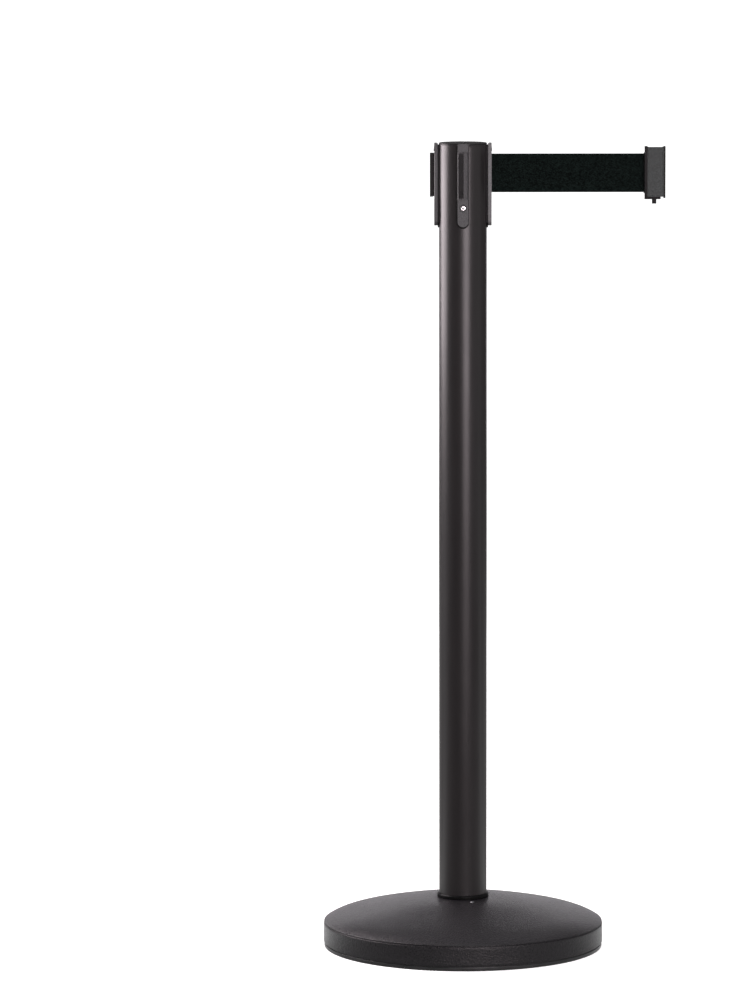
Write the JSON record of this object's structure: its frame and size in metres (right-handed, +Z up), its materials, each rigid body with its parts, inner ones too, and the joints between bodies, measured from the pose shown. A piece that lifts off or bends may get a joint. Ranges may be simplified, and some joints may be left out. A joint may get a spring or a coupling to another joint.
{
  "type": "retractable belt stanchion",
  "caption": "Free-standing crowd-control post on a domed round base, with a spring-wound belt in its head, a belt end with a latch, and rails that take belts on the other faces.",
  "frame": {"origin": "on the floor, on the axis of the post", "axes": "+Z up along the post; the belt leaves along +X; the front face is -Y"},
  "size_m": [0.4304, 0.354, 1.02],
  "materials": {
    "satin_black": "satin powder coat on steel tube",
    "textured_black": "fine-grained textured powder coat",
    "rubber": "moulded rubber, slightly glossy",
    "cast_iron": "rough, dark primer",
    "black_plastic": "moulded, fine matt",
    "cap_black": "moulded, satin",
    "face_plastic": "moulded, fine spark-eroded texture",
    "rail_black": "moulded, semi-gloss",
    "clip_grey": "moulded, fine spark-eroded texture",
    "webbing": "woven polyester, twill rib",
    "chrome": "plated",
    "zinc_steel": "bright zinc plate",
    "dark_steel": "black oxide",
    "spring_steel": "blued spring steel",
    "brass": "turned",
    "white_nylon": "natural nylon"
  },
  "bodies": {
    "post": {"floor_ring": "rubber", "base_weight": "cast_iron", "base_cover": "textured_black", "cover_screw": "zinc_steel", "post_collar": "black_plastic", "tube_foot": "dark_steel", "base_washer": "zinc_steel", "base_bolt": "zinc_steel", "post_tube": "satin_black", "top_cap": "cap_black", "exit_plate": "face_plastic", "backing_exit": "black_plastic", "receiver_screws": "chrome", "cassette_housing": "black_plastic", "cassette_lid": "black_plastic", "guide_pins": "zinc_steel", "spring_cup": "black_plastic", "cup_ring": "spring_steel", "spool_axle": "zinc_steel", "axle_clip": "spring_steel", "mainspring": "spring_steel", "receiver_front": "face_plastic", "rail_front": "rail_black", "backing_front": "black_plastic", "receiver_left": "face_plastic", "rail_left": "rail_black", "backing_left": "black_plastic", "receiver_back": "face_plastic", "rail_back": "rail_black", "backing_back": "black_plastic"},
    "belt_end": {"belt": "webbing", "clip_core": "black_plastic", "clip_shell_front": "clip_grey", "clip_shell_back": "clip_grey", "clip_bottom_plate": "black_plastic", "clip_screws": "dark_steel", "belt_pin": "zinc_steel", "plunger_spring": "spring_steel"},
    "plunger": {"release_plunger": "black_plastic"},
    "latch": {"latch_pawl": "zinc_steel", "latch_pin": "zinc_steel"},
    "spool": {"spool_drum": "white_nylon", "spring_arbor": "dark_steel", "spool_bush_lower": "brass", "spool_bush_upper": "brass", "belt_anchor": "zinc_steel", "belt_coil": "webbing"},
    "roller_front": {"guide_roller_front": "white_nylon"},
    "roller_rear": {"guide_roller_rear": "white_nylon"}
  },
  "joints": [
    {"name": "belt_pull", "type": "slide", "parent": "post", "child": "belt_end", "axis": [1, 0, 0], "range_m": [-0.19, 1.76], "stiffness_N_per_m": 5, "springref_m": -0.4, "deforming": ["belt"]},
    {"name": "spool_spin", "type": "hinge", "parent": "post", "child": "spool", "pos_m": [0, 0, 0.9818], "axis": [0, 0, 1], "continuous": true},
    {"name": "guide_roller_front_spin", "type": "hinge", "parent": "post", "child": "roller_front", "pos_m": [0.0234, -0.0043, 0.9818], "axis": [0, 0, 1], "continuous": true},
    {"name": "guide_roller_rear_spin", "type": "hinge", "parent": "post", "child": "roller_rear", "pos_m": [0.0234, 0.0003, 0.9818], "axis": [0, 0, 1], "continuous": true},
    {"name": "plunger_press", "type": "slide", "parent": "belt_end", "child": "plunger", "axis": [0, 0, 1], "range_m": [0, 0.002], "stiffness_N_per_m": 120, "springref_m": -0.006, "deforming": ["plunger_spring"]},
    {"name": "latch_draw", "type": "slide", "parent": "belt_end", "child": "latch", "axis": [-1, 0, 0], "range_m": [0, 0.002]}
  ],
  "couplings": [
    {"joint": "spool_spin", "follows": "belt_pull", "rad_per_m": 71.85},
    {"joint": "latch_draw", "follows": "plunger_press", "ratio": 1}
  ]
}
